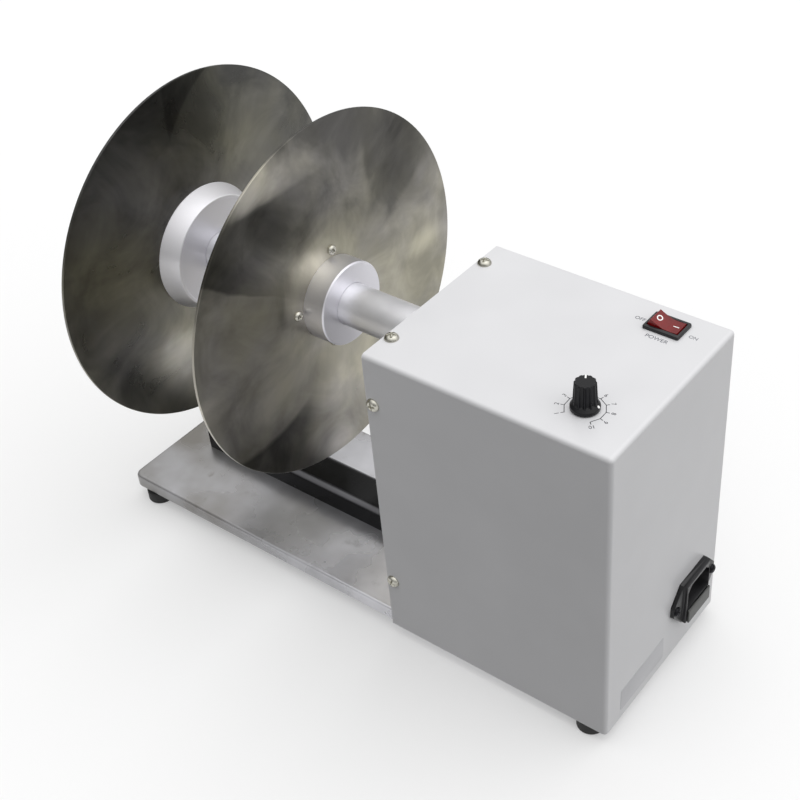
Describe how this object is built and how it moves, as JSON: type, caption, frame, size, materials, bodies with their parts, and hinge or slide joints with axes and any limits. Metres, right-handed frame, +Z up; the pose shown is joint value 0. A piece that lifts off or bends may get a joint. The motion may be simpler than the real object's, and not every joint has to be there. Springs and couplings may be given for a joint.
{
  "type": "label rewinder",
  "caption": "Bench label rewinder: two flange discs with tapered core hubs on a motor-driven spindle beside a sheet-metal case with speed knob and rocker switch.",
  "frame": {"origin": "on the table under the middle of the object's length and of the spindle plane", "axes": "+X along the spindle from the discs to the case, +Y away from the front side, +Z up"},
  "size_m": [0.375, 0.216, 0.2895],
  "materials": {
    "powder_coat_white": "satin gloss",
    "stainless_tray": "cloudy satin",
    "stainless_disc": "ground with cloudy radial marks",
    "bar_black": "semi gloss",
    "satin_aluminium": "satin turned",
    "spindle_steel": "satin turned",
    "foot_rubber": "matte",
    "zinc_steel": "plated",
    "black_oxide_steel": "black oxide",
    "bearing_steel": "ground",
    "gear_steel": "machined",
    "bronze": "turned",
    "motor_zinc": "plated",
    "black_plastic": "matte",
    "grey_plastic": "matte",
    "rocker_red": "translucent",
    "nickel_brass": "plated",
    "fuse_glass": "clear",
    "supply_sheet": "galvanized",
    "terminal_plastic": "matte",
    "circuit_board": "solder mask",
    "sink_aluminium": "anodized",
    "capacitor_sleeve": "sleeved"
  },
  "bodies": {
    "case": {"base_tray": "stainless_tray", "base_bar": "bar_black", "feet": "foot_rubber", "foot_screws": "zinc_steel", "foot_nuts": "zinc_steel", "tray_screws": "zinc_steel", "case_cover": "powder_coat_white", "wall_pan": "powder_coat_white", "cover_screws": "zinc_steel", "bearing_housing": "satin_aluminium", "housing_screws": "zinc_steel", "bearing_outer_ring": "bearing_steel", "rear_plate": "gear_steel", "drive_posts": "zinc_steel", "drive_post_screws": "zinc_steel", "journal_bush": "bronze", "gearhead": "motor_zinc", "motor_can": "motor_zinc", "motor_end_cap": "black_plastic", "motor_tabs": "nickel_brass", "gearhead_screws": "zinc_steel", "potentiometer_body": "motor_zinc", "potentiometer_nut": "zinc_steel", "switch_body": "black_plastic", "switch_tabs": "nickel_brass", "inlet_body": "black_plastic", "inlet_pins": "nickel_brass", "inlet_screws": "black_oxide_steel", "inlet_nuts": "zinc_steel", "supply_case": "supply_sheet", "supply_terminals": "terminal_plastic", "supply_screws": "zinc_steel", "control_board": "circuit_board", "board_posts": "zinc_steel", "board_screws": "zinc_steel", "heat_sink": "sink_aluminium", "capacitors": "capacitor_sleeve"},
    "spindle_set": {"bearing_inner_ring": "bearing_steel", "spindle": "spindle_steel", "spacer_sleeve": "satin_aluminium", "retaining_ring": "gear_steel", "spindle_gear": "gear_steel", "gear_grub_screw": "gear_steel", "inner_disc": "stainless_disc", "inner_hub": "satin_aluminium", "inner_hub_screws": "zinc_steel", "hub_grub_screws": "gear_steel"},
    "motor_output": {"output_shaft": "gear_steel", "pinion": "gear_steel", "pinion_grub_screw": "gear_steel"},
    "outer_flange": {"outer_disc": "stainless_disc", "outer_hub": "satin_aluminium", "outer_hub_screws": "zinc_steel"},
    "clamp_screw": {"thumb_screw": "nickel_brass"},
    "knob": {"speed_knob": "black_plastic", "potentiometer_shaft": "satin_aluminium"},
    "rocker_key": {"rocker": "rocker_red"},
    "drawer": {"fuse_drawer": "grey_plastic", "fuse": "fuse_glass"}
  },
  "joints": [
    {"name": "spindle_spin", "type": "hinge", "parent": "case", "child": "spindle_set", "pos_m": [0, 0, 0.1815], "axis": [1, 0, 0], "continuous": true},
    {"name": "pinion_spin", "type": "hinge", "parent": "case", "child": "motor_output", "pos_m": [0, 0, 0.14775], "axis": [1, 0, 0], "continuous": true},
    {"name": "outer_flange_slide", "type": "slide", "parent": "spindle_set", "child": "outer_flange", "axis": [1, 0, 0], "range_m": [-0.04, 0.07]},
    {"name": "thumb_screw_turn", "type": "hinge", "parent": "outer_flange", "child": "clamp_screw", "pos_m": [-0.14955, 0, 0.2115], "axis": [0, 0, 1], "range_deg": [0, 540]},
    {"name": "speed_knob_turn", "type": "hinge", "parent": "case", "child": "knob", "pos_m": [0.15035, -0.03455, 0.2085], "axis": [0, 0, 1], "range_deg": [-165, 108]},
    {"name": "power_rocker_tilt", "type": "hinge", "parent": "case", "child": "rocker_key", "pos_m": [0.15035, 0.04295, 0.2085], "axis": [0, 1, 0], "range_deg": [-24, 0]},
    {"name": "fuse_drawer_slide", "type": "slide", "parent": "case", "child": "drawer", "axis": [1, 0, 0], "range_m": [0, 0.02]}
  ],
  "couplings": [
    {"joint": "pinion_spin", "follows": "spindle_spin", "ratio": -2}
  ]
}
